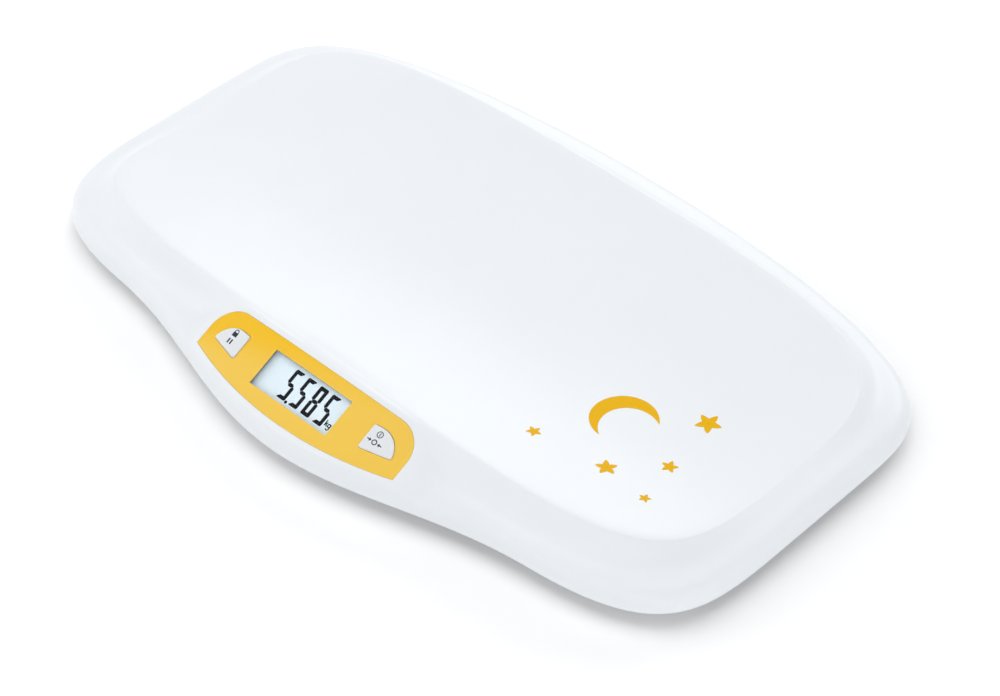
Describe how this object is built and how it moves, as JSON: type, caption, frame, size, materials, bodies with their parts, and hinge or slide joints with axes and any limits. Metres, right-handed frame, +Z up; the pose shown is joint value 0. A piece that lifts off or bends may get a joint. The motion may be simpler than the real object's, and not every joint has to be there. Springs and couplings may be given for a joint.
{
  "type": "digital baby scale",
  "caption": "Low platform scale for babies with a cradle-shaped tray, a sloping console with display window and keys, a battery door and weighing feet.",
  "frame": {"origin": "below the middle of the overall outline, on the resting plane under the foot pads", "axes": "+X along the long side, +Y away from the console, +Z up"},
  "size_m": [0.55, 0.335, 0.0459],
  "materials": {
    "shell_white": "satin moulded shell",
    "pan_white": "fine moulded grain",
    "fascia_yellow": "printed gloss film, warmer along its back edge",
    "key_grey": "soft satin",
    "lens_clear": "clear moulded window",
    "display_glass": "pale display cell with dark segments",
    "light_guide": "milky",
    "frame_white": "plain moulded",
    "strip_rubber": "striped silicone",
    "board_green": "solder mask",
    "chip_black": "moulded epoxy",
    "plunger_black": "moulded",
    "socket_cream": "moulded nylon",
    "screw_steel": "plated",
    "battery_wrap": "plain shrink wrap with a metal ring",
    "contact_steel": "nickel plated",
    "holder_white": "plain moulded",
    "cell_steel": "zinc plated",
    "seal_white": "silicone",
    "lead_jacket": "thin flexible jacket",
    "foot_grey": "plain moulded",
    "foot_rubber": "matt, slightly dusty"
  },
  "bodies": {
    "housing": {"top_shell": "shell_white", "base_pan": "pan_white", "console_panel": "fascia_yellow", "display_lens": "lens_clear", "lcd_glass": "display_glass", "lcd_backlight": "light_guide", "lcd_frame": "frame_white", "contact_strip": "strip_rubber", "main_board": "board_green", "controller_chip": "chip_black", "lead_sockets": "socket_cream", "key_switches": "chip_black", "board_screws": "screw_steel", "batteries": "battery_wrap", "positive_contacts": "contact_steel", "negative_contacts": "contact_steel", "unit_switch": "chip_black", "unit_board": "board_green", "unit_board_screws": "screw_steel", "cell_holder_front_left": "holder_white", "load_cell_front_left": "cell_steel", "cell_lead_front_left": "lead_jacket", "cell_holder_front_right": "holder_white", "load_cell_front_right": "cell_steel", "cell_lead_front_right": "lead_jacket", "cell_holder_back_left": "holder_white", "load_cell_back_left": "cell_steel", "cell_lead_back_left": "lead_jacket", "cell_holder_back_right": "holder_white", "load_cell_back_right": "cell_steel", "cell_lead_back_right": "lead_jacket", "gauge_seals": "seal_white", "holder_screws": "screw_steel", "housing_screws": "screw_steel"},
    "hold_key": {"hold_button": "key_grey", "hold_plunger": "plunger_black"},
    "tare_key": {"tare_button": "key_grey", "tare_plunger": "plunger_black"},
    "unit_key": {"unit_button": "key_grey", "unit_plunger": "plunger_black"},
    "door": {"battery_door": "pan_white"},
    "foot_front_left": {"foot_carrier_front_left": "foot_grey", "foot_pad_front_left": "foot_rubber"},
    "foot_front_right": {"foot_carrier_front_right": "foot_grey", "foot_pad_front_right": "foot_rubber"},
    "foot_back_left": {"foot_carrier_back_left": "foot_grey", "foot_pad_back_left": "foot_rubber"},
    "foot_back_right": {"foot_carrier_back_right": "foot_grey", "foot_pad_back_right": "foot_rubber"}
  },
  "joints": [
    {"name": "hold_press", "type": "slide", "parent": "housing", "child": "hold_key", "axis": [0, 0.4305, -0.9026], "range_m": [0, 0.0008], "stiffness_N_per_m": 400, "springref_m": -0.001},
    {"name": "tare_press", "type": "slide", "parent": "housing", "child": "tare_key", "axis": [0, 0.4305, -0.9026], "range_m": [0, 0.0008], "stiffness_N_per_m": 400, "springref_m": -0.001},
    {"name": "unit_press", "type": "slide", "parent": "housing", "child": "unit_key", "axis": [0, 0, 1], "range_m": [0, 0.0008], "stiffness_N_per_m": 300, "springref_m": -0.001},
    {"name": "door_hinge", "type": "hinge", "parent": "housing", "child": "door", "pos_m": [0, 0.02415, 0.0065], "axis": [-1, 0, 0], "range_deg": [0, 80]},
    {"name": "foot_front_left_load", "type": "slide", "parent": "housing", "child": "foot_front_left", "axis": [0, 0, 1], "range_m": [0, 0.00025], "stiffness_N_per_m": 2000, "springref_m": -0.0003},
    {"name": "foot_front_right_load", "type": "slide", "parent": "housing", "child": "foot_front_right", "axis": [0, 0, 1], "range_m": [0, 0.00025], "stiffness_N_per_m": 2000, "springref_m": -0.0003},
    {"name": "foot_back_left_load", "type": "slide", "parent": "housing", "child": "foot_back_left", "axis": [0, 0, 1], "range_m": [0, 0.00025], "stiffness_N_per_m": 2000, "springref_m": -0.0003},
    {"name": "foot_back_right_load", "type": "slide", "parent": "housing", "child": "foot_back_right", "axis": [0, 0, 1], "range_m": [0, 0.00025], "stiffness_N_per_m": 2000, "springref_m": -0.0003}
  ]
}
